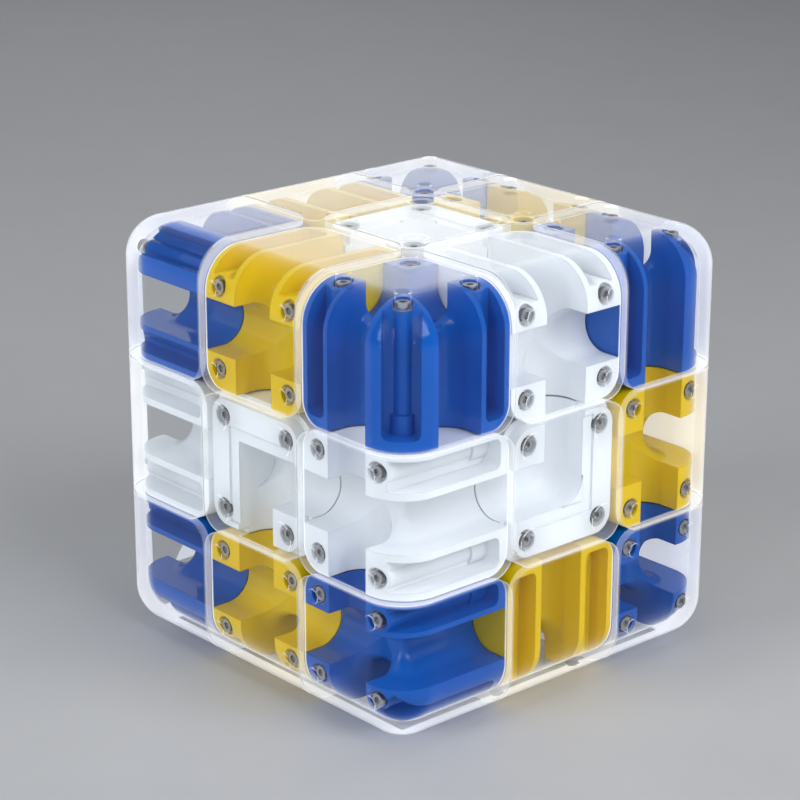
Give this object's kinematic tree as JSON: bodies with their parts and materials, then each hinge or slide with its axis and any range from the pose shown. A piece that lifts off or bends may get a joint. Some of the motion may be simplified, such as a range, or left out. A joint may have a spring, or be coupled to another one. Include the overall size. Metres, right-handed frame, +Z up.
{
  "type": "maze ball puzzle cube",
  "caption": "Twisting cube puzzle whose blocks carry a ball track with a steel ball under clear screwed covers, in blue, yellow and white plastic.",
  "frame": {"origin": "centre of the cube, where all the turning axes cross", "axes": "+Z up through the top layer, -Y towards the front face, +X towards the right face"},
  "size_m": [0.084, 0.084, 0.084],
  "materials": {
    "clear_cover": "clear polished acrylic",
    "blue_track": "deep glossy blue moulding",
    "yellow_track": "glossy yellow moulding",
    "white_track": "glossy cool white moulding",
    "hub_plastic": "satin",
    "core_plastic": "satin dark nylon",
    "spindle_steel": "zinc plated",
    "screw_steel": "nickel plated",
    "ball_steel": "polished"
  },
  "bodies": {
    "middle_layer": {"front_centre_track": "white_track", "right_centre_track": "white_track", "back_centre_track": "white_track", "left_centre_track": "white_track", "front_right_track": "white_track", "front_left_track": "white_track", "back_right_track": "yellow_track", "back_left_track": "yellow_track", "side_centre_covers": "clear_cover", "front_right_cover": "clear_cover", "front_left_cover": "clear_cover", "back_right_cover": "clear_cover", "back_left_cover": "clear_cover", "side_hubs": "hub_plastic", "core": "core_plastic", "spindle_screws": "spindle_steel", "springs": "spindle_steel", "washers": "spindle_steel", "middle_cover_screws": "screw_steel"},
    "top_layer": {"top_centre_track": "white_track", "top_front_track": "yellow_track", "top_right_track": "white_track", "top_back_track": "yellow_track", "top_left_track": "yellow_track", "top_front_right_track": "blue_track", "top_front_left_track": "blue_track", "top_back_right_track": "blue_track", "top_back_left_track": "blue_track", "top_centre_cover": "clear_cover", "top_front_cover": "clear_cover", "top_right_cover": "clear_cover", "top_back_cover": "clear_cover", "top_left_cover": "clear_cover", "top_front_right_cover": "clear_cover", "top_front_left_cover": "clear_cover", "top_back_right_cover": "clear_cover", "top_back_left_cover": "clear_cover", "top_hub": "hub_plastic", "top_cover_screws": "screw_steel"},
    "bottom_layer": {"bottom_centre_track": "white_track", "bottom_front_track": "yellow_track", "bottom_right_track": "yellow_track", "bottom_back_track": "yellow_track", "bottom_left_track": "white_track", "bottom_front_right_track": "blue_track", "bottom_front_left_track": "blue_track", "bottom_back_right_track": "blue_track", "bottom_back_left_track": "blue_track", "bottom_centre_cover": "clear_cover", "bottom_front_cover": "clear_cover", "bottom_right_cover": "clear_cover", "bottom_back_cover": "clear_cover", "bottom_left_cover": "clear_cover", "bottom_front_right_cover": "clear_cover", "bottom_front_left_cover": "clear_cover", "bottom_back_right_cover": "clear_cover", "bottom_back_left_cover": "clear_cover", "bottom_hub": "hub_plastic", "bottom_cover_screws": "screw_steel"},
    "ball": {"ball": "ball_steel"}
  },
  "joints": [
    {"name": "top_turn", "type": "hinge", "parent": "middle_layer", "child": "top_layer", "pos_m": [0, 0, 0.028], "axis": [0, 0, 1], "continuous": true},
    {"name": "bottom_turn", "type": "hinge", "parent": "middle_layer", "child": "bottom_layer", "pos_m": [0, 0, -0.028], "axis": [0, 0, 1], "continuous": true},
    {"name": "ball_roll", "type": "slide", "parent": "middle_layer", "child": "ball", "axis": [1, 0, 0], "range_m": [-0.026, 0.026]}
  ]
}
